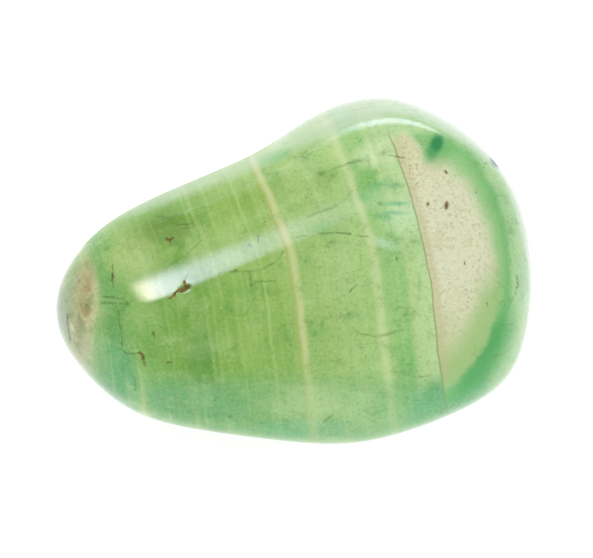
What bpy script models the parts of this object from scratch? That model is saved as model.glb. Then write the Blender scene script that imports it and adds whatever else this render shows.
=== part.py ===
"""A tumbled agate: one pebble of green banded chalcedony, lying on its flattest side.

Metres, +Z up. The stone's length runs along +X to its broad end, and the origin is on the
surface that it rests on, below the middle of its box.
"""

import math

import bmesh
import bpy
from mathutils import Vector

MM = 0.001

# Tumbling wears a broken chip down to a few flats, with everything between them round. Each
# flat: name, turn from +X seen from above and lean above the horizon (degrees), and how far it
# lies from the stone's heart (mm).
FLATS = (
    ("right", 0, 0, 17.4),
    ("right_back", 21, 12, 17.0),
    ("back_right", 47, 23, 15.8),
    ("back", 80, 30, 12.7),
    ("waist", 116, 28, 8.8),
    ("left_back", 144, 19, 12.9),
    ("left_shoulder", 165, 9, 16.4),
    ("left", 182, -1, 19.1),
    ("left_front", 202, -12, 18.1),
    ("front_left", 226, -22, 15.6),
    ("front", 261, -30, 12.2),
    ("front_right", 293, -28, 13.5),
    ("right_front", 314, -22, 17.4),
    ("right_low", 342, -10, 17.8),
    ("face", 270, 60, 9.1),
    ("ridge", 238, 75, 8.85),
    ("far_slope", 156, 75, 8.75),
    ("bevel_left", 123, 49, 9.1),
    ("bevel_back", 75, 51, 14.0),
    ("bevel_right", 43, 46, 16.4),
    ("bevel_end", 341, 30, 17.6),
    ("bevel_corner", 304, 17, 16.2),
    ("bevel_front", 266, 15, 11.7),
    ("bevel_near", 233, 17, 15.0),
    ("bevel_tip", 204, 33, 17.6),
    ("under_right", 0, -45, 15.9),
    ("back_low", 72, -6, 14.4),
    ("under_back", 90, -45, 11.8),
    ("left_low", 155, -22, 16.0),
    ("under_left", 182, -45, 17.0),
    ("under_front", 262, -62, 11.2),
    ("base", 0, -90, 8.2),
)
# How crisp the wear leaves the edges between flats: a ball at 2, sharp edges past 60.
CRISPNESS = 15

# A shoulder that swells out past the flats at the back, beside the narrow waist: the same turn
# and lean, how far it spreads (degrees) and how far it stands out (mm).
SHOULDER_TURN, SHOULDER_LEAN = 70, 30
SHOULDER_SPREAD, SHOULDER_RISE = 23, 1.3

# Where the heart lies from the origin (mm). The base is cut flat just inside its worn face.
HEART = Vector((0.0, -0.34, 8.0))

# Half the stone's length, width and height (mm), and the squares along each edge of the cube
# that it is drawn from.
HALF_SIZE = Vector((16.8, 12.8, 9.3))
GRID = 28

# Glossy, apple-green chalcedony: its mean colour, from the photograph.
STONE_COLOUR = (0.37, 0.57, 0.25, 1)
STONE_ROUGHNESS = 0.08
STONE_IOR = 1.54


def direction(turn, lean):
    """The unit vector at this turn from +X and this lean above the horizon, in degrees."""
    turn, lean = math.radians(turn), math.radians(lean)
    level = math.cos(lean)
    return Vector((level * math.cos(turn), level * math.sin(turn), math.sin(lean)))


SHOULDER = direction(SHOULDER_TURN, SHOULDER_LEAN)
WORN_SIDES = [(direction(turn, lean), distance) for _, turn, lean, distance in FLATS]


def reach(way):
    """How far the worn surface lies from the heart along this unit vector, in mm."""
    worn = sum(max(0.0, way.dot(normal) / distance) ** CRISPNESS for normal, distance in WORN_SIDES)
    off_shoulder = math.degrees(way.angle(SHOULDER)) / SHOULDER_SPREAD
    return worn ** (-1 / CRISPNESS) + SHOULDER_RISE * math.exp(-(off_shoulder**2))


def pebble():
    """A cube of even squares, rounded to an egg and then pushed out to the worn surface."""
    shape = bmesh.new()
    bmesh.ops.create_cube(shape, size=2)
    bmesh.ops.subdivide_edges(shape, edges=shape.edges[:], cuts=GRID - 1, use_grid_fill=True)
    for vertex in shape.verts:
        ball = Vector(math.tan(side * math.pi / 4) for side in vertex.co).normalized()
        way = (ball * HALF_SIZE).normalized()
        point = HEART + way * reach(way)
        point.z = max(point.z, 0)
        vertex.co = point * MM
    return shape


def stone_material():
    material = bpy.data.materials.new("agate")
    material.use_nodes = True
    shader = material.node_tree.nodes["Principled BSDF"]
    shader.inputs["Base Color"].default_value = STONE_COLOUR
    shader.inputs["Roughness"].default_value = STONE_ROUGHNESS
    shader.inputs["Metallic"].default_value = 0
    shader.inputs["IOR"].default_value = STONE_IOR
    material.diffuse_color = STONE_COLOUR
    return material


def agate(collection):
    mesh = bpy.data.meshes.new("agate")
    shape = pebble()
    shape.to_mesh(mesh)
    shape.free()
    mesh.shade_smooth()
    mesh.materials.append(stone_material())
    collection.objects.link(bpy.data.objects.new("agate", mesh))


def main():
    for old in list(bpy.data.objects):
        bpy.data.objects.remove(old)
    collection = bpy.data.collections.new("tumbled_agate")
    bpy.context.scene.collection.children.link(collection)
    agate(collection)


main()
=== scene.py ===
"""The finish of the tumbled agate: its worn skin, its bands, cracks and pits, and the studio."""

import math

import bmesh
import bpy
import numpy as np
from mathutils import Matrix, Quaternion, Vector


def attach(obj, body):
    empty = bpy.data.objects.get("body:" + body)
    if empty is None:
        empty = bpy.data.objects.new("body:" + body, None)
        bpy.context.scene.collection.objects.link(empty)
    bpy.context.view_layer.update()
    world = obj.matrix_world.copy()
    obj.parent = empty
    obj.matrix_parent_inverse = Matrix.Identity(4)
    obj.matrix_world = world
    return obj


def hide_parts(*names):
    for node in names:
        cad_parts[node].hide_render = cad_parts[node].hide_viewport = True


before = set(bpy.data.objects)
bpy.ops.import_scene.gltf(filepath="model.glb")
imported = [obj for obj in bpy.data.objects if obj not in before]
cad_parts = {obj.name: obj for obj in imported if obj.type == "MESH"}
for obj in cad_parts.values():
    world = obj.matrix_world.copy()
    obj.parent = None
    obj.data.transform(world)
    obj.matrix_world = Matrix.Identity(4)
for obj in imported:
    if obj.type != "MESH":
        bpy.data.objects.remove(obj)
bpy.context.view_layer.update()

MM = 0.001

# The photograph: its size in pixels, the pixel at which the stone's heart shows, the scale there,
# and the lens and height that the stone is seen from.
PHOTO_WIDTH, PHOTO_HEIGHT = 593, 558
HEART_PIXEL = (294, 270.5)
PIXELS_PER_MM = 478 / 34
SENSOR_MM, LENS_MM = 36, 180
VIEW_ELEVATION = 60

# The worn flats of the solid, as the part's own source has them: name, turn from +X and lean
# above the horizon (degrees), and distance from the heart (mm).
FLATS = (
    ("right", 0, 0, 17.4),
    ("right_back", 21, 12, 17.0),
    ("back_right", 47, 23, 15.8),
    ("back", 80, 30, 12.7),
    ("waist", 116, 28, 8.8),
    ("left_back", 144, 19, 12.9),
    ("left_shoulder", 165, 9, 16.4),
    ("left", 182, -1, 19.1),
    ("left_front", 202, -12, 18.1),
    ("front_left", 226, -22, 15.6),
    ("front", 261, -30, 12.2),
    ("front_right", 293, -28, 13.5),
    ("right_front", 314, -22, 17.4),
    ("right_low", 342, -10, 17.8),
    ("face", 270, 60, 9.1),
    ("ridge", 238, 75, 8.85),
    ("far_slope", 156, 75, 8.75),
    ("bevel_left", 123, 49, 9.1),
    ("bevel_back", 75, 51, 14.0),
    ("bevel_right", 43, 46, 16.4),
    ("bevel_end", 341, 30, 17.6),
    ("bevel_corner", 304, 17, 16.2),
    ("bevel_front", 266, 15, 11.7),
    ("bevel_near", 233, 17, 15.0),
    ("bevel_tip", 204, 33, 17.6),
    ("under_right", 0, -45, 15.9),
    ("back_low", 72, -6, 14.4),
    ("under_back", 90, -45, 11.8),
    ("left_low", 155, -22, 16.0),
    ("under_left", 182, -45, 17.0),
    ("under_front", 262, -62, 11.2),
    ("base", 0, -90, 8.2),
)
# How crisp the edges between them are, and the shoulder beside the waist: where it lies, how far
# it spreads (degrees) and how far it stands out (mm).
CRISPNESS = 15
SHOULDER_TURN, SHOULDER_LEAN = 70, 30
SHOULDER_SPREAD, SHOULDER_RISE = 23, 1.3
# Where the heart lies from the origin, and half the stone's length, width and height (mm).
HEART = np.array((0.0, -0.34, 8.0))
HALF_SIZE = np.array((16.8, 12.8, 9.3))

# The skin lies this far inside the solid's own surface (mm).
SKIN_INSET = 0.03

# Dents left by broken-out grains: the column and row of each, its radius and its depth (mm).
DENTS = (
    (184, 288, 0.24, 0.03),
    (495, 163, 0.45, 0.12),
    (143, 358, 0.24, 0.03),
    (446, 206, 0.24, 0.03),
)

# A dent's middle is the vertex nearest to the viewer, with each millimetre to the side of the
# dent's own place counted as this many more.
SIDE_COST = 8

# Squares along each edge of the cube that the fine skin is drawn from.
GRID = 126


def direction(turn, lean):
    """The unit vector at this turn from +X and this lean above the horizon, in degrees."""
    turn, lean = math.radians(turn), math.radians(lean)
    level = math.cos(lean)
    return np.array((level * math.cos(turn), level * math.sin(turn), math.sin(lean)))


# The photograph's own directions: towards its viewer, and up its page. Its right is +X.
TO_VIEWER = direction(-90, VIEW_ELEVATION)
UP_PAGE = direction(90, 90 - VIEW_ELEVATION)
VIEW_DISTANCE = LENS_MM / SENSOR_MM * PHOTO_WIDTH / PIXELS_PER_MM
OFF_CENTRE = (HEART_PIXEL[0] - PHOTO_WIDTH / 2, HEART_PIXEL[1] - PHOTO_HEIGHT / 2)
AIM = HEART + (np.array((-OFF_CENTRE[0], 0, 0)) + OFF_CENTRE[1] * UP_PAGE) / PIXELS_PER_MM
VIEWPOINT = AIM + TO_VIEWER * VIEW_DISTANCE


def pixels(points):
    """Where points (mm) show in the photograph: their columns and rows."""
    apart = points - VIEWPOINT
    scale = LENS_MM / SENSOR_MM * PHOTO_WIDTH / -(apart @ TO_VIEWER)
    return PHOTO_WIDTH / 2 + apart[:, 0] * scale, PHOTO_HEIGHT / 2 - apart @ UP_PAGE * scale


# The worn form

def reach(ways):
    """How far the worn surface lies from the heart along these unit vectors, in mm."""
    worn = np.zeros(len(ways))
    for _, turn, lean, distance in FLATS:
        worn += np.maximum(0, ways @ direction(turn, lean) / distance) ** CRISPNESS
    towards_shoulder = np.clip(ways @ direction(SHOULDER_TURN, SHOULDER_LEAN), -1, 1)
    off_shoulder = np.degrees(np.arccos(towards_shoulder)) / SHOULDER_SPREAD
    return worn ** (-1 / CRISPNESS) + SHOULDER_RISE * np.exp(-(off_shoulder**2))


def egg_ways(mesh):
    """Unit vectors from the heart through each vertex of an evenly divided cube."""
    shape = bmesh.new()
    bmesh.ops.create_cube(shape, size=2)
    bmesh.ops.subdivide_edges(shape, edges=shape.edges[:], cuts=GRID - 1, use_grid_fill=True)
    shape.to_mesh(mesh)
    shape.free()
    cube = np.empty(len(mesh.vertices) * 3)
    mesh.vertices.foreach_get("co", cube)
    ball = np.tan(cube.reshape(-1, 3) * math.pi / 4)
    ball /= np.linalg.norm(ball, axis=1)[:, None]
    egg = ball * HALF_SIZE
    return egg / np.linalg.norm(egg, axis=1)[:, None]


def dented(points):
    """Sinks each dent into the side that the photograph shows."""
    columns, rows = pixels(points)
    nearness = (points - HEART) @ TO_VIEWER
    for column, row, radius, depth in DENTS:
        apart = np.hypot(columns - column, rows - row) / PIXELS_PER_MM
        middle = points[np.argmax(nearness - SIDE_COST * apart)]
        fall = depth * np.exp(-np.sum((points - middle) ** 2, axis=1) / radius**2)
        points = points - fall[:, None] * (points - HEART) / np.linalg.norm(middle - HEART)
    return points


def put_points(mesh, points):
    mesh.vertices.foreach_set("co", (points * MM).ravel())
    mesh.update()


def make_stone():
    mesh = bpy.data.meshes.new("agate_skin")
    ways = egg_ways(mesh)
    points = HEART + ways * (reach(ways) - SKIN_INSET)[:, None]
    points = dented(points)
    points[:, 2] = np.maximum(points[:, 2], 0)
    put_points(mesh, points)
    mesh.shade_smooth()
    stone = bpy.data.objects.new("agate_skin", mesh)
    bpy.context.scene.collection.objects.link(stone)
    return stone, points


# Where the layers run

# The layers stand nearly upright in the photograph, leaning a little, and they lean further past
# the ridge: how far they lean (pixels across for each pixel down) at this row, then the column and
# row of places along the ridge with how much further they lean beyond it, and how sharply.
LAYER_LEAN, LAYER_ROW = 0.12, 300
RIDGE = (
    (60, 305, 0.25), (150, 300, 0.25), (200, 275, 0.25), (290, 252, 0.31), (335, 237, 0.25),
    (379, 240, 0.25), (430, 247, 0.16), (540, 262, 0.12),
)
TURN_SOFTNESS = 12

# Where the far slope turns away from the viewer: columns and rows along its edge.
FAR_EDGE = (
    (40, 285), (70, 246), (100, 230), (150, 215), (200, 197), (240, 182), (270, 170), (300, 155),
    (333, 141), (366, 127), (391, 122), (413, 122), (433, 131), (452, 141), (470, 152), (490, 168),
    (505, 188), (515, 215), (524, 250), (531, 290),
)


def mm_right(column):
    return (column - HEART_PIXEL[0]) / PIXELS_PER_MM


def mm_up(row):
    return (HEART_PIXEL[1] - row) / PIXELS_PER_MM


def page_coordinates(points):
    """For each point (mm): how far right and up it shows on the page, and how deep it lies."""
    columns, rows = pixels(points)
    depth = (HEART - points) @ TO_VIEWER
    return np.stack([mm_right(columns), mm_up(rows), depth], axis=1)


def distance_across(points):
    """How far across the layers each point lies, in mm on the page halfway down the face."""
    columns, rows = pixels(points)
    ridge_columns, ridge_rows, leans = np.transpose(RIDGE)
    past_ridge = np.interp(columns, ridge_columns, ridge_rows) - rows
    past_ridge = TURN_SOFTNESS * np.logaddexp(0, past_ridge / TURN_SOFTNESS)
    far_lean = np.interp(columns, ridge_columns, leans)
    return mm_right(columns - LAYER_LEAN * (rows - LAYER_ROW) + far_lean * past_ridge)


def distance_beyond(points):
    """How far past the edge of the far slope each point shows, in mm up the page."""
    columns, rows = pixels(points)
    return (np.interp(columns, *np.transpose(FAR_EDGE)) - rows) / PIXELS_PER_MM


# How soon the marks of the side that shows come in where the skin turns to the viewer.
SEEN_SHARPNESS = 8


def seen_share(mesh):
    """1 where the skin faces the photograph's viewer, falling to 0 where it turns away."""
    normals = np.empty(len(mesh.vertices) * 3)
    mesh.vertex_normals.foreach_get("vector", normals)
    return np.clip(normals.reshape(-1, 3) @ TO_VIEWER * SEEN_SHARPNESS, 0, 1)


# Shading helpers

class Shade:
    """Builds the nodes of a tree from expressions."""

    def __init__(self, tree):
        self.nodes = tree.nodes
        self.links = tree.links

    def feed(self, socket, value):
        if isinstance(value, bpy.types.NodeSocket):
            self.links.new(value, socket)
        else:
            socket.default_value = value

    def make(self, kind, inputs=(), **settings):
        node = self.nodes.new("ShaderNode" + kind)
        for name, value in settings.items():
            setattr(node, name, value)
        for name, value in dict(inputs).items():
            self.feed(node.inputs[name], value)
        return node

    def attribute(self, name, output):
        return self.make("Attribute", attribute_name=name).outputs[output]

    def math(self, operation, first, second=0.0, third=0.0):
        node = self.make("Math", operation=operation)
        for socket, value in zip(node.inputs, (first, second, third)):
            self.feed(socket, value)
        return node.outputs[0]

    def product(self, first, *others):
        for other in others:
            first = self.math("MULTIPLY", first, other)
        return first

    def between(self, share, start, end):
        """The start where the share is 0, and the end where it is 1."""
        return self.math("MULTIPLY_ADD", share, end - start, start)

    def vector(self, operation, first, second=(0, 0, 0)):
        node = self.make("VectorMath", operation=operation)
        for socket, value in zip(node.inputs, (first, second)):
            self.feed(socket, value)
        return node.outputs["Value" if operation in ("DOT_PRODUCT", "LENGTH") else "Vector"]

    def join(self, x, y, z=0.0):
        return self.make("CombineXYZ", {"X": x, "Y": y, "Z": z}).outputs[0]

    def step(self, value, low, high):
        """0 at low and 1 at high, with a smooth rise between; low may be the greater."""
        node = self.make("MapRange", interpolation_type="SMOOTHSTEP", clamp=False)
        for name, number in (("Value", value), ("From Min", low), ("From Max", high)):
            self.feed(node.inputs[name], number)
        return node.outputs[0]

    def bump_at(self, value, middle, half_width):
        """1 at the middle, falling smoothly to 0 half_width away on both sides."""
        off = self.math("ABSOLUTE", self.math("SUBTRACT", value, middle))
        return self.step(off, half_width, 0.0)

    def mix(self, amount, first, second):
        """Two colours mixed: a Mix node lists them after its sockets for numbers and vectors."""
        node = self.make("Mix", data_type="RGBA")
        self.feed(node.inputs["Factor"], amount)
        self.feed(node.inputs[6], first)
        self.feed(node.inputs[7], second)
        return node.outputs[2]

    def noise(self, place, scale, detail, roughness):
        """The noise at a place, as one number and as three."""
        return self.make("TexNoise", {"Vector": place, "Scale": scale, "Detail": detail,
                                      "Roughness": roughness}).outputs[:2]

    def ramp(self, value, stops):
        node = self.make("ValToRGB", {"Fac": value})
        elements = node.color_ramp.elements
        while len(elements) < len(stops):
            elements.new(0.5)
        for element, (position, colour) in zip(elements, stops):
            element.position = position
            element.color = colour
        return node.outputs[0]


def new_material(name):
    """A new material, the builder of its nodes, and its shader."""
    material = bpy.data.materials.new(name)
    material.use_nodes = True
    return material, Shade(material.node_tree), material.node_tree.nodes["Principled BSDF"]


# Colours

# How much of the white studio the polish reflects straight up, and how brightly the studio
# lights the stone: what the photograph adds to the stone's own colour.
REFLECTED = 0.038
LIT = 0.90


def stone_colour(red, green, blue):
    """The stone's own colour where the photograph shows this one (0 to 255, in sRGB)."""
    seen = [((c / 255 + 0.055) / 1.055) ** 2.4 for c in (red, green, blue)]
    return [max(0.0, (c - REFLECTED) / LIT) for c in seen] + [1]


# The layers from the tip to the broad end: the column that each shows at, halfway down the face,
# and its colour in the photograph.
LAYERS = (
    (60, (156, 174, 148)),
    (72, (168, 180, 146)),
    (99, (156, 190, 126)),
    (116, (134, 182, 110)),
    (135, (142, 186, 104)),
    (160, (138, 180, 94)),
    (185, (128, 174, 80)),
    (200, (128, 172, 80)),
    (215, (140, 182, 92)),
    (240, (152, 190, 100)),
    (270, (156, 192, 104)),
    (292, (158, 194, 108)),
    (306, (158, 196, 116)),
    (330, (172, 203, 126)),
    (345, (162, 200, 126)),
    (372, (174, 209, 134)),
    (385, (158, 203, 127)),
    (404, (160, 206, 134)),
    (412, (188, 216, 152)),
    (430, (193, 222, 164)),
    (500, (160, 206, 146)),
    (535, (176, 212, 164)),
)
# The first and last columns of the ramp that holds them.
FIRST_COLUMN, LAST_COLUMN = 50, 540

# Two pale bands stand out among them, the first with a warm edge, and fainter and thinner ones to
# the left: the column and half width in pixels, the colour, and how strong each is.
BANDS = (
    (166, 2.2, (158, 194, 112), 0.40),
    (178, 1.8, (152, 190, 102), 0.40),
    (213.5, 2.6, (160, 197, 112), 0.50),
    (236, 2.2, (164, 199, 116), 0.50),
    (244, 1.8, (164, 199, 116), 0.45),
    (266.5, 2.8, (174, 207, 128), 0.60),
    (299.5, 6.4, (204, 212, 152), 0.85),
    (294, 2.4, (186, 188, 112), 0.5),
    (379, 8.0, (208, 223, 168), 0.70),
)

# The cream eye of quartz near the broad end: the layer at which it starts, the middle of its round
# side, its half width, and its half height above and below that (pixels). It fades out at this
# depth behind the front of the stone (mm).
EYE_START = 432.5
EYE_MIDDLE = (425, 277)
EYE_HALF_WIDTH, EYE_HALF_HEIGHT_UP, EYE_HALF_HEIGHT_DOWN = 72, 122, 110
STONE_FRONT, EYE_HALF_DEPTH = 9.1, 14

# Marks in the stone, as the photograph shows them: half width (mm), then columns and rows along
# each. Rust lies in open pits and old cracks.
RUST = (
    (0.09, (170, 298), (178, 291), (184, 289)),
    (0.18, (181, 290), (188.5, 286.5)),
    (0.09, (185, 282), (184.4, 288)),
    (0.08, (139.5, 353), (142, 355), (143, 359)),
    (0.16, (446.4, 203.8), (445.8, 207.6)),
    (0.07, (444.8, 171), (446.4, 173)),
    (0.05, (465.3, 262.5), (465, 264.5)),
)
BROWN = (
    (0.07, (122, 343), (122.4, 345)),
    (0.08, (153.5, 333), (154, 335.5)),
    (0.08, (144.2, 361.5), (145, 365)),
    (0.05, (166.5, 363.2), (171.5, 362.2)),
    (0.05, (112.7, 264), (113, 288)),
    (0.05, (113.6, 275), (112.6, 282)),
    (0.06, (235, 270), (237, 270.6)),
    (0.05, (187.5, 274), (184.7, 281)),
    (0.07, (166.5, 238.5), (170, 240.5), (173.5, 238)),
    (0.06, (170, 240.5), (170.6, 245)),
    (0.07, (67, 314), (68.5, 328), (70, 341)),
    (0.08, (427.3, 203), (428.2, 204.2)),
    (0.05, (403.4, 157.2), (404.4, 158.2)),
    (0.04, (472.4, 266), (472.8, 267.2)),
    (0.04, (475.7, 192.5), (476, 193.5)),
    (0.06, (397, 257.4), (397, 258.6)),
    (0.03, (389.4, 155), (402, 157.6)),
    (0.04, (258, 235), (258, 241.5)),
    (0.04, (248.9, 244), (250.2, 246.8)),
    (0.04, (487.3, 303.6), (487.5, 304.6)),
    (0.06, (485, 162.6), (486, 163.6)),
)
CRACKS = (
    (0.05, (231, 272), (251, 272), (265, 268), (277.6, 260), (283.3, 252)),
    (0.05, (250, 273.8), (251.2, 286.4)),
    (0.05, (256, 281.8), (275.3, 280.7)),
    (0.05, (104, 297), (122, 298.5), (128.6, 303.5), (102, 302.6)),
    (0.045, (116.3, 305), (120, 320), (122.3, 343)),
    (0.04, (118.8, 347), (128, 354), (139.4, 353.3)),
    (0.04, (134.2, 376.4), (135.6, 390)),
    (0.06, (158, 216), (169, 218.5), (176.3, 215)),
    (0.05, (178, 225), (191.7, 223.5)),
    (0.035, (181, 228.8), (190.3, 228)),
    (0.05, (203.5, 212.5), (207, 213.8)),
    (0.20, (321, 172.4), (323.4, 173.6)),
    (0.05, (323.4, 173), (338.7, 167.2), (352, 162)),
    (0.10, (352, 162), (368.5, 159.4)),
    (0.08, (379, 203.2), (380.6, 204)),
    (0.04, (296, 237.5), (306, 235.6)),
    (0.05, (318, 233.6), (334, 233), (351, 234)),
    (0.04, (357, 235.4), (368, 236.6)),
    (0.05, (349.8, 291.7), (356.6, 284.8)),
    (0.05, (439.5, 415), (442, 411.5)),
    (0.04, (323.7, 422), (332, 415)),
    (0.08, (229, 416.5), (231, 417)),
    (0.05, (516.4, 276), (518.3, 285.6), (516, 293.6)),
)
FAINT_CRACKS = (
    (0.035, (231.6, 314.7), (246.3, 315.3), (254.7, 298)),
    (0.03, (146, 326), (159.4, 325.5), (168, 330.8)),
    (0.04, (166, 268), (184.7, 256), (202, 239.4)),
    (0.06, (308.5, 216.4), (337, 206)),
    (0.05, (393.6, 310.9), (400.5, 307), (413, 308.2)),
    (0.06, (352.5, 327), (360, 334), (380, 336.5), (403.2, 330)),
    (0.05, (415, 377), (430.7, 375.3)),
    (0.05, (502.2, 324.7), (512, 324.7)),
    (0.04, (489.6, 359), (500, 354.5)),
    (0.04, (503.4, 301.7), (509, 302.8)),
)
TEAL_STROKES = (
    (0.36, (363.6, 195.4), (371.2, 189), (388, 183.4)),
    (0.18, (393, 185), (403, 185)),
    (0.20, (375, 216), (388, 218)),
)

# The tints laid on the stone. Where one comes in between two values, the first is where it starts
# and the second where it is whole, so the first may be the greater. Colours are as the photograph
# shows them (0 to 255), and a strength is the greatest share of the tint in the mix.

# The eye, where a place goes by its distance from the middle as a share of the eye's size. Two
# green rings lie round it: where, their half width, colour and strength.
EYE_COLOUR, EYE_STRENGTH = (224, 225, 192), 0.95
EYE_ROUND_SIDE = (1.09, 0.85)
EYE_RINGS = (
    (1.05, 0.16, (146, 200, 130), 0.7),
    (1.15, 0.09, (112, 186, 108), 0.55),
)
# The greener margin low on its round side: the rows that it comes in between, its inner and outer
# edge, its colour and strength.
LOW_MARGIN_ROWS = (255, 305)
LOW_MARGIN_INNER, LOW_MARGIN_OUTER = (0.62, 0.90), (1.08, 0.98)
LOW_MARGIN_COLOUR, LOW_MARGIN_STRENGTH = (166, 201, 132), 0.85
# Its straight side is soft for this many pixels each way. A tan shade lies just inside it and a
# thin olive line along it: the column, half width (mm), colour and strength of each, and how far
# out from the eye the line runs.
EYE_START_SOFTNESS = 1
START_SHADE = (EYE_START + 4, 0.5, (196, 192, 146), 0.5)
START_LINE = (EYE_START, 0.12, (150, 158, 102), 0.7)
START_LINE_REACH = (1.4, 1.15)

# Soft ovals of colour on the page: what each is, the column and row of its middle, its half width
# and half height (pixels), how steeply it rises to the right (degrees), the share of it that is
# even, its colour and its strength. The first ones lie under the teal of the front, the second
# ones over it.
UNDER_ZONES = (
    ("olive behind the ridge", (165, 230), (60, 21), 14, 0.2, (100, 144, 30), 0.7),
    ("pale green at the upper left", (128, 252), (42, 34), 30, 0.2, (182, 205, 132), 0.75),
    ("pale green below the streak", (150, 316), (30, 26), 0, 0.2, (160, 194, 118), 0.45),
    ("deep green down the front left", (190, 402), (90, 34), -3, 0.2, (96, 158, 84), 0.75),
    ("olive right of the first band", (322, 182), (48, 20), 22, 0, (140, 180, 90), 0.5),
    ("olive left of the first band", (262, 196), (60, 22), 24, 0, (140, 178, 86), 0.5),
)
OVER_ZONES = (
    ("pale green down the front", (304, 400), (66, 32), 0, 0.2, (180, 208, 146), 0.6),
    ("teal along the front edge", (300, 430), (74, 15), 0, 0.2, (112, 181, 130), 0.75),
    ("teal down the front right", (448, 398), (74, 30), 28, 0.2, (108, 184, 130), 0.85),
    ("deep green left of the middle", (201, 356), (26, 40), 0, 0.1, (82, 150, 62), 0.9),
    ("teal down the front left", (112, 384), (32, 28), -40, 0.2, (100, 167, 110), 0.85),
    ("green right of the second band", (404, 372), (22, 44), -8, 0, (100, 182, 104), 0.6),
    ("green left of the second band", (365, 178), (18, 28), -25, 0, (130, 190, 104), 0.6),
    ("pale green along the far edge", (386, 151), (44, 20), 16, 0.3, (216, 234, 184), 0.85),
    # The next two are painted light: a painted reflection left of the eye, and a painted highlight
    # where the ridge's streak ends.
    ("painted reflection left of the eye", (404, 216), (34, 32), 0, 0, (204, 234, 190), 0.75),
    ("painted highlight at the streak's end", (384, 243), (24, 8), -18, 0, (206, 232, 204), 0.6),
    ("green on the ridge", (322, 228), (24, 12), 15, 0, (128, 188, 116), 0.6),
    ("olive over the faint bands", (236, 204), (36, 16), 22, 0, (138, 174, 76), 0.5),
)
OLIVE_HEART = (
    ("brightest olive", (164, 229), (44, 18), 10, 0.2, (106, 146, 0), 0.45),
)
TIP_ZONES = (
    ("teal zone", (120, 370), (24, 60), 16, 0.2, (98, 170, 112), 0.85),
    ("tan patch", (83, 312), (17, 72), -5, 0.5, (186, 182, 142), 0.9),
)
WAIST_ZONE = (
    ("green at the waist", (277, 156), (26, 9), 24, 0, (130, 194, 128), 0.7),
)
EYE_SURROUND = (
    ("green round the low end", (485, 356), (70, 25), 61, 0.3, (80, 170, 96), 0.8),
)
# These show only on the eye.
EYE_ZONES = (
    ("pale middle", (456, 262), (24, 40), 0, 0.1, (222, 229, 200), 0.35),
)
# These show only where the ragged noise lets them.
TIP_STAINS = (
    ("cream margin", (94, 309), (7, 44), -4, 0.2, (212, 210, 166), 0.8),
    ("brown stain", (85, 302), (8, 50), -6, 0.2, (172, 140, 96), 0.75),
    ("grey stain", (78, 334), (12, 32), 0, 0, (146, 154, 112), 0.7),
)
# These show only on the side that the photograph shows.
TEAL_STREAKS = (
    ("upper streak", (396, 203.5), (22, 4), 0, 0, (118, 194, 142), 0.8),
    ("lower streak", (394, 213), (24, 3.5), 0, 0, (128, 200, 150), 0.7),
)
DARK_SPOT = (
    ("green surround", (441, 150), (20, 26), -40, 0, (112, 184, 106), 0.75),
    ("teal tail", (433, 149), (10, 20), -18, 0.2, (72, 162, 98), 0.8),
    ("dark spot", (437.5, 143), (8.5, 12), -15, 0.3, (20, 142, 86), 0.95),
)
EDGE_CHIP = (
    ("chip on the far edge", (494, 163), (11, 4), -52, 0.3, (84, 122, 104), 0.9),
)

# Soft ovals that limit other tints, given in the same way.
TIP_MOTTLED = ((80, 310), (16, 62), -5, 0.5)
EYE_UPPER_END = ((410, 158), (17, 32), 20, 0.5)
EYE_BROWN = ((408, 162), (24, 46), 15, 0)

# Tints that come in down or up the page: the two rows, the colour and the strength.
FRONT_TEAL = (
    (364, 396, (122, 183, 130), 0.6),
)
EYE_ENDS = (
    (285, 355, (192, 207, 150), 0.6),
    (190, 140, (206, 212, 158), 0.6),
)

# The noises: how many waves to the millimetre, how many finer octaves, and how rough they are. The
# mottling is taken from another part of its noise, this far off (mm), to keep it off the clouds.
MOTTLE_SHIFT = (31, 7, 3)
NOISES = {
    "waver": (2.2, 5.0, 0.75),
    "bend": (0.25, 2.0, 0.5),
    "lines": (1.0, 3.0, 0.6),
    "ragged": (1.1, 4.0, 0.65),
    "cloud": (0.20, 3.0, 0.55),
    "mottle": (0.7, 5.0, 0.68),
    "grain": (4.5, 3.0, 0.7),
    "sugar": (4.2, 4.0, 0.8),
    "hairline zones": (0.5, 3.0, 0.5),
}
NOISE_MEAN = 0.5
# How far the layers, the strokes and the cells of the hairlines waver (mm).
LAYER_WAVER, STROKE_WAVER, CELL_WAVER = 0.5, 0.5, 2.4
# The growth lines have this many waves to the millimetre across the layers and along them.
LINES_ACROSS, LINES_ALONG = 1.5, 0.06

# Tints that follow a noise: the noise, its two values, the colour and the strength. The growth
# lines weaken between two columns, from the first of two strengths to the second.
TIP_MOTTLING = (
    ("mottle", 0.52, 0.64, (216, 212, 184), 0.55),
    ("mottle", 0.46, 0.34, (150, 126, 90), 0.5),
)
GROWTH_LINES = (
    ("lines", 0.50, 0.80, (204, 218, 150), 1.0),
    ("lines", 0.50, 0.20, (102, 164, 76), 1.0),
)
LINE_COLUMNS, LINE_STRENGTHS = (290, 360), (0.42, 0.22)
MOTTLING = (
    ("cloud", 0.50, 0.75, (206, 226, 164), 0.35),
    ("cloud", 0.50, 0.25, (100, 166, 80), 0.35),
    ("mottle", 0.52, 0.80, (196, 222, 160), 0.45),
    ("mottle", 0.48, 0.22, (84, 152, 72), 0.6),
    ("grain", 0.50, 0.90, (210, 224, 168), 0.4),
    ("grain", 0.50, 0.15, (76, 132, 60), 0.5),
)
EYE_GRAIN = (
    ("sugar", 0.49, 0.74, (138, 142, 94), 0.62),
    ("sugar", 0.50, 0.24, (238, 240, 220), 0.6),
    ("mottle", 0.52, 0.34, (204, 196, 152), 0.35),
)
BROWN_GRAIN = (
    ("sugar", 0.50, 0.66, (170, 142, 78), 0.85),
)
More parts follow.
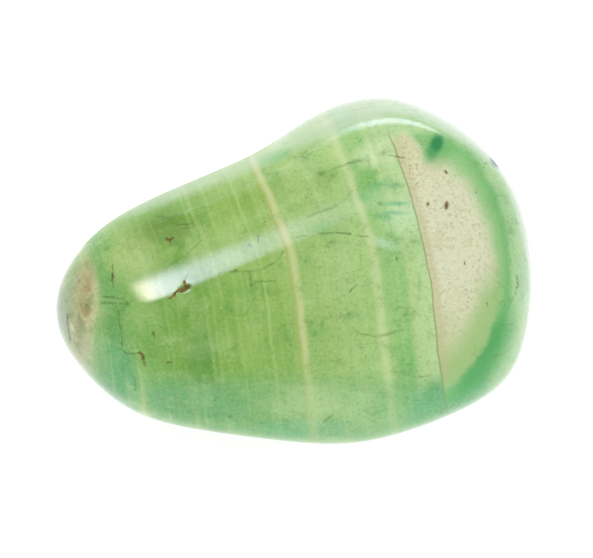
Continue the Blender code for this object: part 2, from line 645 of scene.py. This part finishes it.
# Where the ragged noise lets the tip's stains and the bands show, and how far the mottling moves
# the eye's edge out and in (shares of its size).
STAIN_GAPS, BAND_GAPS = (0.38, 0.55), (0.22, 0.50)
EYE_ROUGHNESS = (-0.08, 0.08)

# The bands weaken down the front between two rows, and each is whole within this share of its
# half width.
BAND_ROWS, BAND_STRENGTHS = (330, 420), (1.0, 0.32)
BAND_CORE = 0.1

# The painted reflection on the far slope, a pale tint in place of the white studio that the
# slope reflects: how far past its edge it comes in (mm), and the columns between which it
# strengthens.
FAR_REFLECTION_COLOUR = (204, 222, 196)
FAR_REFLECTION_START, FAR_REFLECTION_COLUMNS, FAR_REFLECTION_STRENGTHS = (0.0, 0.9), (280, 350), (0.42, 0.67)

# Hairlines and specks too fine to tell apart are the edges and middles of cells: how many cells to
# the millimetre, how far from the edge or middle the mark reaches, and which of them show.
HAIR_CELLS, HAIR_EDGE, HAIR_ZONES = 0.5, (0.03, 0.0), (0.51, 0.62)
SPECK_CELLS, SPECK_EDGE, SPECK_CHOICE = 1.7, (0.16, 0.04), (0.54, 0.62)
HAIR_COLOUR, HAIR_STRENGTH = (84, 130, 50), 0.5
SPECK_COLOUR, SPECK_STRENGTH = (66, 100, 36), 0.65
EYE_SPECK_COLOUR, EYE_SPECK_STRENGTH = (140, 104, 60), 0.6
# How strongly the green marks show off the eye and on it.
GREEN_MARKS = (1.0, 0.1)

# The marks, in the order in which they are laid: their courses, the softness of their edges (a
# share of their half width), their colour and strength. The grain breaks them up, and the ragged
# noise thins them to the first of two shares.
MARKS = (
    (TEAL_STROKES, 1.0, (94, 178, 116), 0.65),
    (CRACKS, 1.6, (78, 122, 36), 0.7),
    (FAINT_CRACKS, 2.0, (92, 146, 62), 0.5),
    (BROWN, 1.2, (104, 84, 30), 0.95),
)
MARK_BREAKS, MARK_THINNING, MARK_SHARES = (0.34, 0.50), (0.40, 0.56), (0.4, 1.0)
# Rust is dark at its edge, with orange grains where it is thickest.
RUST_SOFTNESS = 0.8
RUST_COLOUR, RUST_STRENGTH = (84, 72, 12), 0.92
ORANGE_COLOUR, ORANGE_START, ORANGE_GRAIN = (170, 122, 34), (0.8, 1.0), (0.42, 0.6)

# The polish: its roughness, which the mottling varies a little, and how much rougher the stone is
# on the far slope left of the waist (left of these columns, and this far past the slope's edge in
# mm) and in the open pits.
POLISH, POLISH_MOTTLING = (0.05, 0.08), (0.4, 0.8)
DULLER, DULL_COLUMNS, DULL_START = 0.34, (286, 262), (-0.7, -0.4)
RUST_ROUGHER = 0.8
# How strongly the grain shows in the polish, and its height (mm).
GRAIN_BUMP, GRAIN_HEIGHT = 0.25, 0.004
REFRACTION = 1.54
# Light scatters below the skin: the share of it that does, how far red, green and blue run as
# shares of the longest run, and that run (mm).
SCATTERED, SCATTER_RUNS, LONGEST_RUN = 0.5, (0.7, 1.0, 0.6), 0.5


# The stone's material

def stroke_group():
    """A node group: how far a place lies from the straight line between two points."""
    group = bpy.data.node_groups.new("distance_to_stroke", "ShaderNodeTree")
    for name, kind in (("Place", "Vector"), ("Start", "Vector"), ("Run", "Vector"),
                       ("Run Squared", "Float")):
        group.interface.new_socket(name, in_out="INPUT", socket_type="NodeSocket" + kind)
    group.interface.new_socket("Distance", in_out="OUTPUT", socket_type="NodeSocketFloat")
    shade = Shade(group)
    place, start, run, run_squared = group.nodes.new("NodeGroupInput").outputs[:4]
    off = shade.vector("SUBTRACT", place, start)
    share = shade.math("DIVIDE", shade.vector("DOT_PRODUCT", off, run), run_squared)
    share = shade.math("MINIMUM", shade.math("MAXIMUM", share, 0.0), 1.0)
    nearest = shade.make("VectorMath", {"Vector": run, "Scale": share}, operation="SCALE")
    apart = shade.vector("SUBTRACT", off, nearest.outputs["Vector"])
    made = group.nodes.new("NodeGroupOutput")
    shade.feed(made.inputs["Distance"], shade.vector("LENGTH", apart))
    return group


class Page:
    """The page of the photograph, laid on the stone: steps, soft patches and strokes on it."""

    def __init__(self, shade, waver):
        self.shade = shade
        page = shade.attribute("page", "Vector")
        self.right, self.up, self.depth = shade.make("SeparateXYZ", {"Vector": page}).outputs[:3]
        self.flat = shade.vector("MULTIPLY", page, (1, 1, 0))
        bend = shade.vector("MULTIPLY", waver, (STROKE_WAVER, STROKE_WAVER, 0))
        self.crooked = shade.vector("ADD", self.flat, bend)
        self.group = stroke_group()

    def past_rows(self, first, last):
        """0 at the first row and 1 at the last, either of which may be the upper one."""
        return self.shade.step(self.up, mm_up(first), mm_up(last))

    def past_columns(self, first, last):
        """0 at the first column and 1 at the last, either of which may be the left one."""
        return self.shade.step(self.right, mm_right(first), mm_right(last))

    def patch(self, middle, half_size, slope, core):
        """A soft oval: 1 out to the share core of its size, and 0 from its edge. Its half width
        and half height are in pixels, and its slope in degrees, rising to the right."""
        centre = (mm_right(middle[0]), mm_up(middle[1]), 0)
        off = self.shade.vector("SUBTRACT", self.flat, centre)
        turn = math.radians(slope)
        sides = ((math.cos(turn), math.sin(turn), 0), (-math.sin(turn), math.cos(turn), 0))
        shares = [self.shade.math("MULTIPLY", self.shade.vector("DOT_PRODUCT", off, side),
                                  PIXELS_PER_MM / half)
                  for side, half in zip(sides, half_size)]
        return self.shade.step(self.shade.vector("LENGTH", self.shade.join(*shares)), 1.0, core)

    def stroke(self, half_width, softness, start, end):
        run = end - start
        node = self.shade.make("Group", {"Place": self.crooked, "Start": start, "Run": run,
                                         "Run Squared": run.length_squared},
                               node_tree=self.group)
        return self.shade.step(node.outputs["Distance"], half_width * (1 + softness),
                               half_width * max(0, 1 - softness))

    def either(self, strokes):
        """The greatest of these strokes, joined half by half so that few wait for one another."""
        if len(strokes) == 1:
            return self.stroke(*strokes[0])
        half = len(strokes) // 2
        return self.shade.math("MAXIMUM", self.either(strokes[:half]), self.either(strokes[half:]))

    def strokes(self, marks, softness):
        """1 on the strokes and 0 off them, with an edge that is a share of their half width."""
        strokes = []
        for half_width, *course in marks:
            points = [Vector((mm_right(column), mm_up(row), 0)) for column, row in course]
            strokes += [(half_width, softness, *ends) for ends in zip(points, points[1:])]
        return self.either(strokes)


class Agate:
    """The stone's material: what its colours go by, and its colour as tints are laid on it."""

    def __init__(self):
        self.material, self.shade, self.shader = new_material("agate_stone")
        shade = self.shade
        metres = shade.make("TexCoord").outputs["Object"]
        self.place = shade.vector("MULTIPLY", metres, (1 / MM, 1 / MM, 1 / MM))
        _, waver = shade.noise(self.place, *NOISES["waver"])
        self.waver = shade.vector("SUBTRACT", waver, (NOISE_MEAN, NOISE_MEAN, NOISE_MEAN))
        self.page = Page(shade, self.waver)
        self.beyond = shade.attribute("beyond", "Fac")
        self.seen = shade.attribute("seen", "Fac")
        self.noises = {}
        bend = shade.math("SUBTRACT", self.noise("bend"), NOISE_MEAN)
        self.across = shade.math("MULTIPLY_ADD", bend, LAYER_WAVER, shade.attribute("across", "Fac"))
        self.colour = self.layer_colours()

    def noise(self, name):
        """One of the noises, made when it is first asked for."""
        if name not in self.noises:
            place = self.place
            if name == "mottle":
                place = self.shade.vector("ADD", place, MOTTLE_SHIFT)
            self.noises[name], _ = self.shade.noise(place, *NOISES[name])
        return self.noises[name]

    def on_noise(self, name, limits):
        return self.shade.step(self.noise(name), *limits)

    def tint(self, seen_colour, *amounts):
        """Brings in the colour that the photograph shows, by the product of the amounts."""
        amount = self.shade.product(*amounts)
        self.colour = self.shade.mix(amount, self.colour, stone_colour(*seen_colour))

    def tint_patches(self, patches, *shares):
        for _, middle, half_size, slope, core, seen_colour, strength in patches:
            patch = self.page.patch(middle, half_size, slope, core)
            self.tint(seen_colour, patch, *shares, strength)

    def tint_rows(self, steps, *shares):
        for first, last, seen_colour, strength in steps:
            self.tint(seen_colour, self.page.past_rows(first, last), *shares, strength)

    def tint_noises(self, noises, *shares):
        for name, start, whole, seen_colour, strength in noises:
            self.tint(seen_colour, self.on_noise(name, (start, whole)), *shares, strength)

    def layer_colours(self):
        """The layers' colours, picked by the distance across them."""
        start, span = mm_right(FIRST_COLUMN), mm_right(LAST_COLUMN) - mm_right(FIRST_COLUMN)
        along = self.shade.math("DIVIDE", self.shade.math("SUBTRACT", self.across, start), span)
        stops = [((column - FIRST_COLUMN) / (LAST_COLUMN - FIRST_COLUMN), stone_colour(*seen))
                 for column, seen in LAYERS]
        return self.shade.ramp(along, stops)

    def lay_greens(self):
        """The green is olive behind the ridge, and turns teal down the front and at the eye. Among
        the ovals are a painted reflection left of the eye and a painted highlight at the streak's
        end.
        """
        self.tint_patches(UNDER_ZONES)
        self.tint_rows(FRONT_TEAL)
        self.tint_patches(OVER_ZONES)
        self.tint_patches(TEAL_STREAKS, self.seen)

    def lay_tip(self):
        """A teal zone, then a tan patch with a cream margin and browner and greyer stains."""
        stain = self.on_noise("ragged", STAIN_GAPS)
        self.tint_patches(TIP_ZONES)
        self.tint_patches(TIP_STAINS, stain)
        self.tint_noises(TIP_MOTTLING, self.page.patch(*TIP_MOTTLED))

    def lay_mottling(self):
        """Fine growth lines along the layers, then clouds, wisps and grain."""
        shade = self.shade
        growth = shade.join(shade.math("MULTIPLY", self.across, LINES_ACROSS),
                            shade.math("MULTIPLY", self.page.up, LINES_ALONG),
                            shade.math("MULTIPLY", self.page.depth, LINES_ALONG))
        self.noises["lines"], _ = shade.noise(growth, *NOISES["lines"])
        strength = shade.between(self.page.past_columns(*LINE_COLUMNS), *LINE_STRENGTHS)
        self.tint_noises(GROWTH_LINES, strength)
        self.tint_noises(MOTTLING)
        self.tint_patches(OLIVE_HEART)

    def lay_bands(self):
        fading = self.shade.between(self.page.past_rows(*BAND_ROWS), *BAND_STRENGTHS)
        gaps = self.on_noise("ragged", BAND_GAPS)
        for column, half_width, seen_colour, strength in BANDS:
            off = self.shade.math("SUBTRACT", self.across, mm_right(column))
            half_mm = half_width / PIXELS_PER_MM
            band = self.shade.step(self.shade.math("ABSOLUTE", off), half_mm, half_mm * BAND_CORE)
            self.tint(seen_colour, band, gaps, fading, strength)

    def from_eye_middle(self):
        """How far a place lies from the middle of the eye, as a share of the eye's own size."""
        shade = self.shade
        rise = shade.math("SUBTRACT", self.page.up, mm_up(EYE_MIDDLE[1]))
        above = shade.math("MULTIPLY", shade.math("MAXIMUM", rise, 0.0),
                           PIXELS_PER_MM / EYE_HALF_HEIGHT_UP)
        below = shade.math("MULTIPLY", shade.math("MINIMUM", rise, 0.0),
                           PIXELS_PER_MM / EYE_HALF_HEIGHT_DOWN)
        run = shade.math("SUBTRACT", self.page.right, mm_right(EYE_MIDDLE[0]))
        behind = shade.math("ADD", self.page.depth, STONE_FRONT)
        shares = shade.join(shade.math("MULTIPLY", run, PIXELS_PER_MM / EYE_HALF_WIDTH),
                            shade.math("ADD", above, below),
                            shade.math("DIVIDE", behind, EYE_HALF_DEPTH))
        rough_edge = shade.between(self.noise("mottle"), *EYE_ROUGHNESS)
        return shade.math("ADD", shade.vector("LENGTH", shares), rough_edge)

    def lay_eye(self):
        """Cream quartz with a sugary grain, greens round it, and a thin line at its start."""
        shade = self.shade
        from_eye = self.from_eye_middle()
        started = shade.step(self.across, mm_right(EYE_START - EYE_START_SOFTNESS),
                             mm_right(EYE_START + EYE_START_SOFTNESS))
        for middle, half_width, seen_colour, strength in EYE_RINGS:
            ring = shade.bump_at(from_eye, middle, half_width)
            self.tint(seen_colour, ring, started, strength)
        self.tint_patches(EYE_SURROUND)

        upper_end = shade.math("MULTIPLY", self.page.patch(*EYE_UPPER_END), self.seen)
        round_side = shade.math("MAXIMUM", shade.step(from_eye, *EYE_ROUND_SIDE), upper_end)
        eye = shade.math("MULTIPLY", round_side, started)
        self.tint(EYE_COLOUR, eye, EYE_STRENGTH)
        self.tint_noises(EYE_GRAIN, eye)
        self.tint_patches(EYE_ZONES, eye)
        self.tint_noises(BROWN_GRAIN, eye, self.page.patch(*EYE_BROWN))
        self.tint_rows(EYE_ENDS, eye)
        self.tint(LOW_MARGIN_COLOUR, shade.step(from_eye, *LOW_MARGIN_INNER),
                  shade.step(from_eye, *LOW_MARGIN_OUTER), self.page.past_rows(*LOW_MARGIN_ROWS),
                  started, LOW_MARGIN_STRENGTH)

        line_reach = shade.step(from_eye, *START_LINE_REACH)
        for line, share in ((START_SHADE, eye), (START_LINE, line_reach)):
            column, half_width, seen_colour, strength = line
            along = shade.bump_at(self.across, mm_right(column), half_width)
            self.tint(seen_colour, along, share, strength)
        return eye

    def lay_spot(self):
        """The dark teal spot at the eye's upper end."""
        self.tint_patches(DARK_SPOT, self.seen)

    def lay_far_slope(self):
        """A painted reflection as a pale tint on the slope past the far edge, then green at the
        waist and a chip on its edge.
        """
        # Painted reflection: the pale tint past the far edge stands in for the white studio
        # reflected there.
        far = self.shade.step(self.beyond, *FAR_REFLECTION_START)
        strength = self.shade.between(self.page.past_columns(*FAR_REFLECTION_COLUMNS), *FAR_REFLECTION_STRENGTHS)
        self.tint(FAR_REFLECTION_COLOUR, far, self.seen, strength)
        self.tint_patches(WAIST_ZONE)
        self.tint_patches(EDGE_CHIP, self.seen)

    def lay_hairlines(self, eye):
        """Hairlines and specks too fine to tell apart."""
        shade = self.shade
        bend = shade.vector("MULTIPLY", self.waver, (CELL_WAVER, CELL_WAVER, CELL_WAVER))
        cells = shade.vector("ADD", self.place, bend)
        off_eye = shade.between(eye, *GREEN_MARKS)
        edges = shade.make("TexVoronoi", {"Vector": cells, "Scale": HAIR_CELLS},
                           feature="DISTANCE_TO_EDGE")
        hairs = shade.step(edges.outputs["Distance"], *HAIR_EDGE)
        zones = self.on_noise("hairline zones", HAIR_ZONES)
        self.tint(HAIR_COLOUR, hairs, zones, off_eye, HAIR_STRENGTH)
        dots = shade.make("TexVoronoi", {"Vector": cells, "Scale": SPECK_CELLS})
        specks = shade.product(shade.step(dots.outputs["Distance"], *SPECK_EDGE),
                               shade.step(dots.outputs["Color"], *SPECK_CHOICE))
        self.tint(SPECK_COLOUR, specks, off_eye, SPECK_STRENGTH)
        self.tint(EYE_SPECK_COLOUR, specks, eye, EYE_SPECK_STRENGTH)

    def lay_marks(self):
        """The teal strokes, cracks and rust pits that can be told apart."""
        thinned = self.shade.between(self.on_noise("ragged", MARK_THINNING), *MARK_SHARES)
        broken = self.shade.math("MULTIPLY", self.on_noise("grain", MARK_BREAKS), thinned)
        for marks, softness, seen_colour, strength in MARKS:
            strokes = self.page.strokes(marks, softness)
            self.tint(seen_colour, strokes, self.seen, broken, strength)
        rust = self.shade.math("MULTIPLY", self.page.strokes(RUST, RUST_SOFTNESS), self.seen)
        self.tint(RUST_COLOUR, rust, RUST_STRENGTH)
        thickest = self.shade.step(rust, *ORANGE_START)
        self.tint(ORANGE_COLOUR, thickest, self.on_noise("grain", ORANGE_GRAIN))
        return rust

    def polish(self, rust):
        """The polish is dull on the far slope left of the waist, and broken in the open pits."""
        shade = self.shade
        dull = shade.math("MULTIPLY", self.page.past_columns(*DULL_COLUMNS),
                          shade.step(self.beyond, *DULL_START))
        rough = shade.between(self.on_noise("mottle", POLISH_MOTTLING), *POLISH)
        rough = shade.math("MULTIPLY_ADD", dull, DULLER, rough)
        rough = shade.math("MULTIPLY_ADD", rust, RUST_ROUGHER, rough)
        bump = shade.make("Bump", {"Height": self.noise("grain"), "Strength": GRAIN_BUMP,
                                   "Distance": GRAIN_HEIGHT * MM})
        for name, value in (
            ("Base Color", self.colour),
            ("Roughness", rough),
            ("Normal", bump.outputs[0]),
            ("IOR", REFRACTION),
            ("Subsurface Weight", SCATTERED),
            ("Subsurface Radius", SCATTER_RUNS),
            ("Subsurface Scale", LONGEST_RUN * MM),
        ):
            shade.feed(self.shader.inputs[name], value)


def agate_material():
    agate = Agate()
    agate.lay_greens()
    agate.lay_tip()
    agate.lay_mottling()
    agate.lay_bands()
    eye = agate.lay_eye()
    agate.lay_spot()
    agate.lay_far_slope()
    agate.lay_hairlines(eye)
    rust = agate.lay_marks()
    agate.polish(rust)
    return agate.material


# Studio

WHITE = (1, 1, 1, 1)
# How near the camera begins to see, and the floor's side (m).
CAMERA_NEAR, FLOOR_SIZE = 0.01, 4
# The white all round is the world's own light, and under the stone it is mostly the floor's glow.
WORLD_STRENGTH, FLOOR_GLOW = 0.82, 0.86
FLOOR_COLOUR, FLOOR_ROUGHNESS = (0.3, 0.3, 0.3, 1), 0.9

# The light cards' cool white, and their distance from the heart (m).
CARD_COLOUR = (1.0, 0.94, 1.40)
CARD_DISTANCE = 0.4

# Each card: where it lies from the heart (its turn and lean), its spin about its middle, its two
# sides (m), its radiance (W per m2 per steradian), how that fades along and across it (places from
# 0 to 1, each with the share left there), and the colour that warms its far end. One lights the
# streak down the ridge, brightest at the tip, and the other the line along the far edge.
STREAK = {
    "turn": 155, "lean": 70, "spin": -49, "size": (0.085, 0.147), "radiance": 20,
    "along": ((0, 0.02), (0.21, 0.08), (0.31, 0.18), (0.38, 0.27), (0.46, 0.30), (0.54, 0.42),
              (0.65, 0.62), (0.73, 0.88), (0.79, 0.88), (0.85, 0.58), (0.91, 0.22), (1, 0)),
    "across": ((0, 0), (0.14, 0.12), (0.26, 0.42), (0.42, 0.85), (0.55, 1), (0.88, 1), (1, 0.25)),
    "warm": (0.95, 0.82, 0.50, 1),
}
RIM = {
    "turn": 97, "lean": 21.5, "spin": 22, "size": (0.30, 0.085), "radiance": 5.5,
    "along": ((0, 0.2), (0.1, 0.6), (0.3, 1), (0.69, 1), (0.85, 0.35), (1, 0.1)),
    "across": ((0, 0), (0.25, 0.6), (0.5, 1), (0.75, 0.6), (1, 0)),
    "warm": WHITE,
}
WARM_START, WARM_END = 0.6, 0.8


def make_camera():
    data = bpy.data.cameras.new("camera")
    data.sensor_width = SENSOR_MM
    data.lens = LENS_MM
    data.clip_start = CAMERA_NEAR
    camera = bpy.data.objects.new("camera", data)
    bpy.context.scene.collection.objects.link(camera)
    camera.location = VIEWPOINT * MM
    camera.rotation_mode = "QUATERNION"
    camera.rotation_quaternion = (-Vector(TO_VIEWER)).to_track_quat("-Z", "Y")
    bpy.context.scene.camera = camera


def shade_card(data, along, across, warm):
    """Fades a card's light along and across it, and warms its far end."""
    data.use_nodes = True
    shade = Shade(data.node_tree)
    place = shade.make("NewGeometry").outputs["Parametric"]
    on_card = shade.make("SeparateXYZ", {"Vector": place}).outputs
    shares = [shade.ramp(side, [(position, (share, share, share, 1)) for position, share in fade])
              for side, fade in zip(on_card, (along, across))]
    emission = shade.nodes["Emission"].inputs
    shade.feed(emission["Strength"], shade.math("MULTIPLY", *shares))
    warmth = shade.ramp(on_card[0], ((WARM_START, WHITE), (WARM_END, warm)))
    shade.feed(emission["Color"], warmth)


def make_card(name, turn, lean, spin, size, radiance, along, across, warm):
    """A soft light card that faces the stone's heart."""
    data = bpy.data.lights.new(name, "AREA")
    data.shape = "RECTANGLE"
    data.size, data.size_y = size
    data.energy = radiance * math.pi * size[0] * size[1]
    data.color = CARD_COLOUR
    shade_card(data, along, across, warm)
    card = bpy.data.objects.new(name, data)
    bpy.context.scene.collection.objects.link(card)
    way = Vector(direction(turn, lean))
    card.location = Vector(HEART * MM) + way * CARD_DISTANCE
    card.rotation_mode = "QUATERNION"
    spun = Quaternion((0, 0, 1), math.radians(spin))
    card.rotation_quaternion = way.to_track_quat("Z", "Y") @ spun


def make_world():
    world = bpy.data.worlds.new("studio")
    bpy.context.scene.world = world
    world.use_nodes = True
    background = world.node_tree.nodes["Background"]
    background.inputs["Color"].default_value = WHITE
    background.inputs["Strength"].default_value = WORLD_STRENGTH
    bpy.context.scene.view_settings.view_transform = "Standard"


def make_floor():
    bpy.ops.mesh.primitive_plane_add(size=FLOOR_SIZE)
    floor = bpy.context.object
    floor.name = "floor"
    material, shade, shader = new_material("floor")
    for name, value in (
        ("Base Color", FLOOR_COLOUR),
        ("Roughness", FLOOR_ROUGHNESS),
        ("Emission Color", WHITE),
        ("Emission Strength", FLOOR_GLOW),
    ):
        shade.feed(shader.inputs[name], value)
    floor.data.materials.append(material)


def make_studio():
    make_world()
    make_card("streak", **STREAK)
    make_card("rim", **RIM)
    make_floor()


def add_number(mesh, name, values):
    mesh.attributes.new(name, "FLOAT", "POINT").data.foreach_set("value", values)


def main():
    stone, points = make_stone()
    mesh = stone.data
    page = mesh.attributes.new("page", "FLOAT_VECTOR", "POINT")
    page.data.foreach_set("vector", page_coordinates(points).ravel())
    add_number(mesh, "across", distance_across(points))
    add_number(mesh, "beyond", distance_beyond(points))
    add_number(mesh, "seen", seen_share(mesh))
    mesh.materials.append(agate_material())
    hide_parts("agate")
    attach(stone, "root")
    make_studio()
    make_camera()


main()
